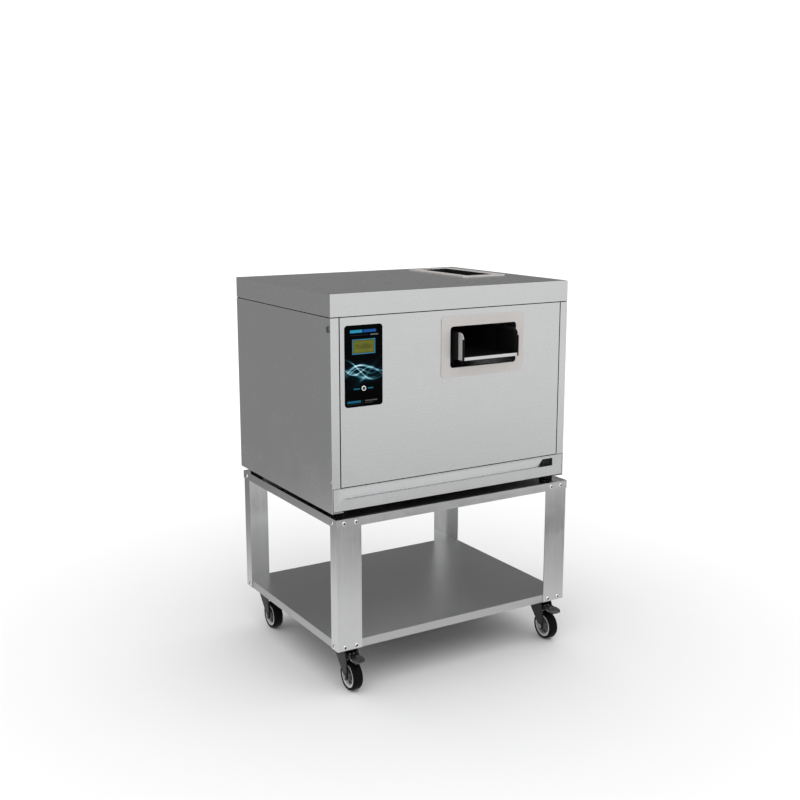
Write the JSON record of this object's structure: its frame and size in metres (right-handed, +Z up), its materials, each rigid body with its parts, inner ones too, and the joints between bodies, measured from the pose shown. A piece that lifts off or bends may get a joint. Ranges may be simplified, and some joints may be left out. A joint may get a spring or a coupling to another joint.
{
  "type": "cutlery drying and polishing machine on a wheeled trolley",
  "caption": "Stainless-steel cabinet with inlet slot, outlet chute, control panel, vibrating spiral tank and germicidal lamp, on a wheeled trolley with a lower shelf.",
  "frame": {"origin": "on the floor under the middle of the whole part's box", "axes": "+Z up, -Y the front, +X to the right as seen from the front, so that the control panel is at -X"},
  "size_m": [0.706, 0.597, 0.9823],
  "materials": {
    "steel_cabinet": "fine brushed stainless steel",
    "steel_trolley": "fine brushed stainless steel, upright grain on the legs",
    "steel_trim": "bead-blasted warm grey stainless steel",
    "steel_tank": "plain stainless sheet",
    "screw_steel": "bright button-head screws and pins",
    "spring_steel": "zinc-plated spring wire",
    "black_plastic": "moulded black plastic",
    "black_rubber": "black rubber mat and feet",
    "overlay": "glossy black overlay with a plain blue pattern",
    "lcd": "olive green display",
    "pcb": "green circuit board",
    "lamp_glass": "clear quartz lamp tube",
    "ceramic_socket": "white lamp socket",
    "button_metal": "satin ring button",
    "lock_metal": "dark nickel quarter-turn lock",
    "motor_iron": "painted cast housing",
    "rotor_steel": "machined steel",
    "heater_band": "heat-tinted band heater",
    "caster_black": "black coated pressed steel",
    "rim_grey": "light grey moulded rim",
    "tyre_black": "black rubber tyre"
  },
  "bodies": {
    "root": {"base_plate": "steel_cabinet", "front_rail": "steel_cabinet", "side_panel_left": "steel_cabinet", "side_panel_right": "steel_cabinet", "rear_panel": "steel_cabinet", "top_cover": "steel_cabinet", "inlet_frame": "steel_trim", "inlet_hopper": "steel_tank", "machine_feet": "black_rubber", "tank_springs": "spring_steel", "door_pins": "screw_steel", "button_screws": "screw_steel", "power_board": "pcb", "power_inlet": "black_plastic", "uv_lamp": "lamp_glass", "uv_lamp_sockets": "ceramic_socket", "switch_housing": "black_plastic", "trolley_top": "steel_trolley", "trolley_shelf": "steel_trolley", "leg_front_left": "steel_trolley", "leg_front_right": "steel_trolley", "leg_rear_left": "steel_trolley", "leg_rear_right": "steel_trolley", "caster_stems": "caster_black"},
    "door": {"door_panel": "steel_cabinet", "outlet_collar": "steel_trim", "control_overlay": "overlay", "lcd_screen": "lcd", "control_board": "pcb"},
    "button": {"start_button": "button_metal"},
    "rocker": {"switch_rocker": "black_plastic"},
    "lock_l": {"lock_left": "lock_metal"},
    "lock_r": {"lock_right": "lock_metal"},
    "tank": {"tank_floor": "steel_tank", "tank_wall": "steel_tank", "spiral_ramp": "steel_tank", "outlet_chute": "steel_tank", "chute_liner": "black_rubber", "motor_housing": "motor_iron", "heater_ring": "heater_band"},
    "rotor": {"eccentric_rotor": "rotor_steel"},
    "caster_fl": {"fork_fl": "caster_black", "axle_fl": "screw_steel"},
    "wheel_fl": {"rim_fl": "rim_grey", "tyre_fl": "tyre_black"},
    "caster_fr": {"fork_fr": "caster_black", "axle_fr": "screw_steel"},
    "wheel_fr": {"rim_fr": "rim_grey", "tyre_fr": "tyre_black"},
    "caster_rl": {"fork_rl": "caster_black", "axle_rl": "screw_steel"},
    "wheel_rl": {"rim_rl": "rim_grey", "tyre_rl": "tyre_black"},
    "caster_rr": {"fork_rr": "caster_black", "axle_rr": "screw_steel"},
    "wheel_rr": {"rim_rr": "rim_grey", "tyre_rr": "tyre_black"},
    "brake_fl": {"pedal_fl": "caster_black"},
    "brake_fr": {"pedal_fr": "caster_black"}
  },
  "joints": [
    {"name": "door_tilt", "type": "hinge", "parent": "root", "child": "door", "pos_m": [0, -0.2415, 0.5326], "axis": [1, 0, 0], "range_deg": [0, 80]},
    {"name": "start_press", "type": "slide", "parent": "door", "child": "button", "axis": [0, 1, 0], "range_m": [0, 0.001], "stiffness_N_per_m": 600},
    {"name": "switch_rock", "type": "hinge", "parent": "root", "child": "rocker", "pos_m": [0.2975, -0.2385, 0.4972], "axis": [0, 0, 1], "range_deg": [0, 20]},
    {"name": "lock_left_turn", "type": "hinge", "parent": "root", "child": "lock_l", "pos_m": [-0.35, -0.2365, 0.897], "axis": [1, 0, 0], "range_deg": [0, 90]},
    {"name": "lock_right_turn", "type": "hinge", "parent": "root", "child": "lock_r", "pos_m": [0.35, -0.2365, 0.897], "axis": [1, 0, 0], "range_deg": [0, 90]},
    {"name": "tank_bounce", "type": "slide", "parent": "root", "child": "tank", "axis": [0, 0, 1], "range_m": [-0.003, 0.003], "stiffness_N_per_m": 60000, "springref_m": 0.00443, "deforming": ["tank_springs"]},
    {"name": "rotor_spin", "type": "hinge", "parent": "tank", "child": "rotor", "pos_m": [-0.075, 0.0385, 0.52], "axis": [0, 0, 1], "continuous": true},
    {"name": "swivel_fl", "type": "hinge", "parent": "root", "child": "caster_fl", "pos_m": [-0.304, -0.2199, 0.1], "axis": [0, 0, 1], "continuous": true},
    {"name": "roll_fl", "type": "hinge", "parent": "caster_fl", "child": "wheel_fl", "pos_m": [-0.304, -0.2499, 0.0375], "axis": [1, 0, 0], "continuous": true},
    {"name": "swivel_fr", "type": "hinge", "parent": "root", "child": "caster_fr", "pos_m": [0.304, -0.2199, 0.1], "axis": [0, 0, 1], "continuous": true},
    {"name": "roll_fr", "type": "hinge", "parent": "caster_fr", "child": "wheel_fr", "pos_m": [0.304, -0.2499, 0.0375], "axis": [1, 0, 0], "continuous": true},
    {"name": "swivel_rl", "type": "hinge", "parent": "root", "child": "caster_rl", "pos_m": [-0.304, 0.2359, 0.1], "axis": [0, 0, 1], "continuous": true},
    {"name": "roll_rl", "type": "hinge", "parent": "caster_rl", "child": "wheel_rl", "pos_m": [-0.304, 0.2059, 0.0375], "axis": [1, 0, 0], "continuous": true},
    {"name": "swivel_rr", "type": "hinge", "parent": "root", "child": "caster_rr", "pos_m": [0.304, 0.2359, 0.1], "axis": [0, 0, 1], "continuous": true},
    {"name": "roll_rr", "type": "hinge", "parent": "caster_rr", "child": "wheel_rr", "pos_m": [0.304, 0.2059, 0.0375], "axis": [1, 0, 0], "continuous": true},
    {"name": "brake_press_fl", "type": "hinge", "parent": "caster_fl", "child": "brake_fl", "pos_m": [-0.304, -0.2279, 0.09], "axis": [1, 0, 0], "range_deg": [0, 12]},
    {"name": "brake_press_fr", "type": "hinge", "parent": "caster_fr", "child": "brake_fr", "pos_m": [0.304, -0.2279, 0.09], "axis": [1, 0, 0], "range_deg": [0, 12]}
  ]
}
